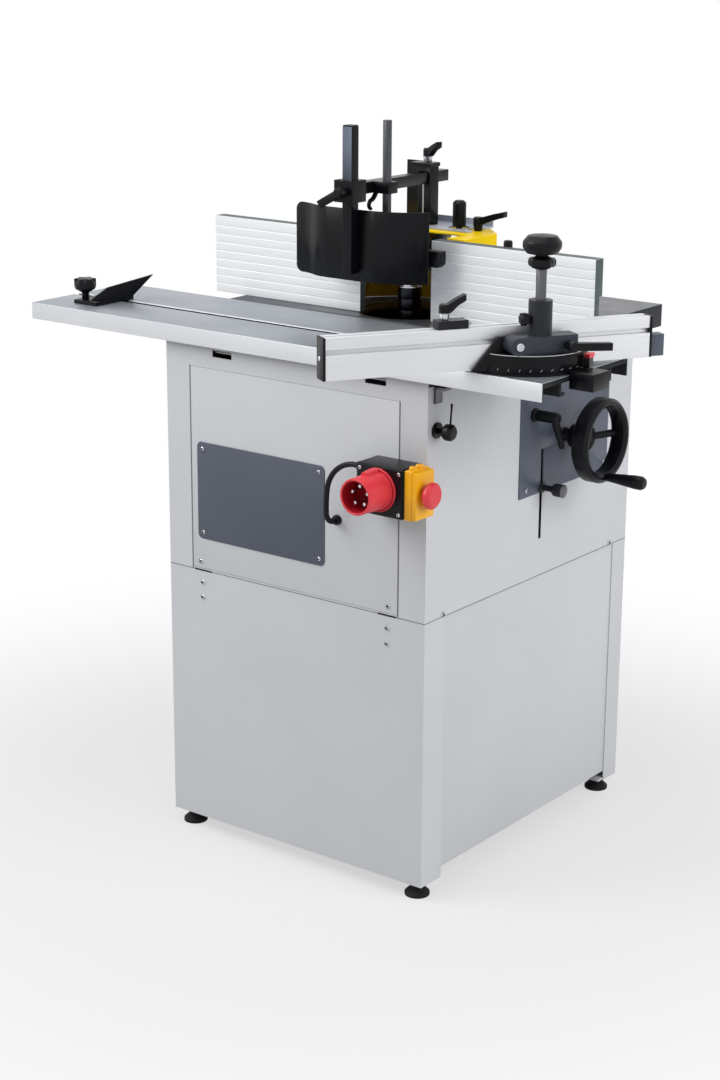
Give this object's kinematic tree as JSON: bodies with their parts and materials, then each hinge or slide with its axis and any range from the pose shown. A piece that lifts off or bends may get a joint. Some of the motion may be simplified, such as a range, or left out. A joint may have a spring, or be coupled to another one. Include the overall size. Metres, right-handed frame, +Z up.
{
  "type": "spindle moulder",
  "caption": "Floor-standing spindle moulder: sheet cabinet, cast table, sliding table with mitre gauge, split fence with hood, hand guard, lift handwheel and switch.",
  "frame": {"origin": "on the floor, under the middle of the whole machine's box", "axes": "+Z up, -Y towards the operator's side with the sliding table, +X towards the handwheel side"},
  "size_m": [1.0484, 0.8476, 1.17],
  "materials": {
    "cabinet_paint": "satin powder coat",
    "slate_paint": "satin paint",
    "table_iron": "ground top",
    "anodised": "brushed anodised",
    "black_paint": "satin black paint",
    "black_plastic": "satin",
    "bright_steel": "bright",
    "grey_steel": "satin",
    "casting": "painted casting",
    "motor_alloy": "painted alloy",
    "belt_rubber": "matt",
    "foot_rubber": "satin",
    "red_plastic": "satin gloss",
    "yellow_plastic": "satin gloss",
    "yellow_paint": "gloss paint"
  },
  "bodies": {
    "base": {"lower_frame": "cabinet_paint", "lower_side_panels": "cabinet_paint", "upper_cabinet": "cabinet_paint", "front_cover": "cabinet_paint", "cover_plates": "slate_paint", "levelling_feet": "foot_rubber", "cabinet_screws": "bright_steel", "main_table": "table_iron", "slide_rail": "grey_steel", "lock_bracket": "black_paint", "guide_columns": "grey_steel", "switch_box": "black_plastic", "power_inlet": "red_plastic", "inlet_pins": "bright_steel", "switch_module": "yellow_plastic", "cable_glands": "black_plastic", "switch_cable": "black_plastic"},
    "carriage": {"spindle_carriage": "casting", "spindle_bearings": "bright_steel", "drive_motor": "motor_alloy", "drive_belt": "belt_rubber"},
    "spindle": {"spindle_shaft": "bright_steel", "spindle_rings": "grey_steel", "spindle_pulley": "motor_alloy"},
    "rotor": {"motor_pulley": "motor_alloy"},
    "lift": {"lift_screw": "grey_steel"},
    "wheel": {"handwheel_shaft": "grey_steel", "handwheel": "black_plastic"},
    "crank": {"crank_handle": "black_plastic"},
    "height_lock": {"height_lock_knob": "black_plastic"},
    "table_lock": {"table_lock_knob": "black_plastic"},
    "slide": {"sliding_table": "anodised", "gauge_disc": "black_paint"},
    "shoe": {"end_shoe": "black_paint"},
    "shoe_knob": {"end_shoe_knob": "black_plastic"},
    "gauge": {"gauge_base": "black_paint", "gauge_arm": "slate_paint"},
    "gauge_clamp": {"gauge_lever": "black_plastic"},
    "bar": {"mitre_bar": "anodised", "bar_end_caps": "black_plastic"},
    "stop": {"stop_block": "grey_steel"},
    "stop_clamp": {"stop_lever": "black_plastic"},
    "hold": {"hold_rod": "grey_steel", "hold_knob": "black_plastic"},
    "flap": {"switch_flap": "yellow_plastic"},
    "button": {"stop_button": "red_plastic"},
    "fence": {"fence_hood": "yellow_paint", "fence_carrier": "black_paint", "dust_outlet": "black_plastic", "guard_post": "black_paint"},
    "plate_left": {"fence_plate_left": "anodised"},
    "plate_right": {"fence_plate_right": "anodised"},
    "fence_clamp": {"fence_lever": "black_plastic"},
    "adjuster": {"adjust_knob": "black_plastic"},
    "arm": {"guard_arm": "black_paint"},
    "guard": {"hand_guard": "black_paint"},
    "press": {"press_rod": "grey_steel", "press_shoe": "black_plastic"},
    "post_clamp": {"post_lever": "black_plastic"},
    "tube_clamp": {"tube_lever": "black_plastic"}
  },
  "joints": [
    {"name": "table_slide", "type": "slide", "parent": "base", "child": "slide", "axis": [1, 0, 0], "range_m": [-0.2, 0.25]},
    {"name": "mitre_swivel", "type": "hinge", "parent": "slide", "child": "gauge", "pos_m": [0.38476, -0.12716, 0.861], "axis": [0, 0, 1], "range_deg": [-28.3, 31.7]},
    {"name": "bar_slide", "type": "slide", "parent": "gauge", "child": "bar", "axis": [0.5255, 0.8508, 0], "range_m": [-0.08, 0.02]},
    {"name": "gauge_lever_turn", "type": "hinge", "parent": "gauge", "child": "gauge_clamp", "pos_m": [0.46714, -0.14278, 0.8985], "axis": [0.8508, -0.5255, 0], "range_deg": [-15, 90]},
    {"name": "stop_slide", "type": "slide", "parent": "bar", "child": "stop", "axis": [0.5255, 0.8508, 0], "range_m": [-0.15, 0.04]},
    {"name": "stop_lever_turn", "type": "hinge", "parent": "stop", "child": "stop_clamp", "pos_m": [0.33469, -0.25961, 0.95], "axis": [0, 0, 1], "range_deg": [-90, 90]},
    {"name": "hold_slide", "type": "slide", "parent": "gauge", "child": "hold", "axis": [0, 0, 1], "range_m": [0, 0.05]},
    {"name": "shoe_slide", "type": "slide", "parent": "slide", "child": "shoe", "axis": [1, 0, 0], "range_m": [-0.04, 0.25]},
    {"name": "shoe_knob_turn", "type": "hinge", "parent": "shoe", "child": "shoe_knob", "pos_m": [-0.45404, -0.16716, 0.87], "axis": [0, 0, 1], "range_deg": [-180, 180]},
    {"name": "carriage_lift", "type": "slide", "parent": "base", "child": "carriage", "axis": [0, 0, 1], "range_m": [-0.06, 0.03]},
    {"name": "screw_turn", "type": "hinge", "parent": "base", "child": "lift", "pos_m": [0.09076, 0.17284, 0.6], "axis": [0, 0, 1], "range_deg": [-2170, 4330]},
    {"name": "handwheel_turn", "type": "hinge", "parent": "base", "child": "wheel", "pos_m": [0.33776, 0.17284, 0.679], "axis": [1, 0, 0], "range_deg": [-2170, 4330]},
    {"name": "crank_spin", "type": "hinge", "parent": "wheel", "child": "crank", "pos_m": [0.38076, 0.17284, 0.621], "axis": [1, 0, 0], "continuous": true},
    {"name": "motor_spin", "type": "hinge", "parent": "carriage", "child": "rotor", "pos_m": [0.00376, 0.26984, 0.6], "axis": [0, 0, 1], "continuous": true},
    {"name": "spindle_spin", "type": "hinge", "parent": "carriage", "child": "spindle", "pos_m": [0.00376, 0.11384, 0.72], "axis": [0, 0, 1], "continuous": true},
    {"name": "height_lock_turn", "type": "hinge", "parent": "carriage", "child": "height_lock", "pos_m": [0.27576, 0.10584, 0.605], "axis": [1, 0, 0], "range_deg": [-120, 120]},
    {"name": "table_lock_pull", "type": "slide", "parent": "base", "child": "table_lock", "axis": [1, 0, 0], "range_m": [0, 0.01], "stiffness_N_per_m": 600},
    {"name": "flap_hinge", "type": "hinge", "parent": "base", "child": "flap", "pos_m": [0.28306, -0.23266, 0.699], "axis": [0, -1, 0], "range_deg": [0, 95]},
    {"name": "stop_press", "type": "slide", "parent": "flap", "child": "button", "axis": [-1, 0, 0], "range_m": [0, 0.004], "stiffness_N_per_m": 1500},
    {"name": "fence_slide", "type": "slide", "parent": "base", "child": "fence", "axis": [0, 1, 0], "range_m": [-0.03, 0.05]},
    {"name": "plate_left_slide", "type": "slide", "parent": "fence", "child": "plate_left", "axis": [1, 0, 0], "range_m": [-0.06, 0.015]},
    {"name": "plate_right_slide", "type": "slide", "parent": "fence", "child": "plate_right", "axis": [1, 0, 0], "range_m": [-0.012, 0.06]},
    {"name": "fence_lever_turn", "type": "hinge", "parent": "fence", "child": "fence_clamp", "pos_m": [0.09276, 0.17684, 0.99], "axis": [0, 0, 1], "range_deg": [-120, 120]},
    {"name": "adjust_turn", "type": "hinge", "parent": "fence", "child": "adjuster", "pos_m": [0.05576, 0.17684, 1], "axis": [0, 0, 1], "range_deg": [-180, 180]},
    {"name": "arm_slide", "type": "slide", "parent": "fence", "child": "arm", "axis": [0, 1, 0], "range_m": [-0.06, 0.01]},
    {"name": "guard_slide", "type": "slide", "parent": "arm", "child": "guard", "axis": [0, 0, 1], "range_m": [-0.06, 0.01]},
    {"name": "press_slide", "type": "slide", "parent": "arm", "child": "press", "axis": [0, 0, 1], "range_m": [-0.02, 0.075]},
    {"name": "post_lever_turn", "type": "hinge", "parent": "fence", "child": "post_clamp", "pos_m": [-0.00824, 0.17684, 1.095], "axis": [0, 0, 1], "range_deg": [-90, 90]},
    {"name": "tube_lever_turn", "type": "hinge", "parent": "arm", "child": "tube_clamp", "pos_m": [0.00426, -0.05946, 1.066], "axis": [0, -1, 0], "range_deg": [-60, 60]}
  ],
  "couplings": [
    {"joint": "screw_turn", "follows": "carriage_lift", "rad_per_m": -1256.6},
    {"joint": "handwheel_turn", "follows": "carriage_lift", "rad_per_m": -1256.6},
    {"joint": "spindle_spin", "follows": "motor_spin", "ratio": 1.7222}
  ]
}
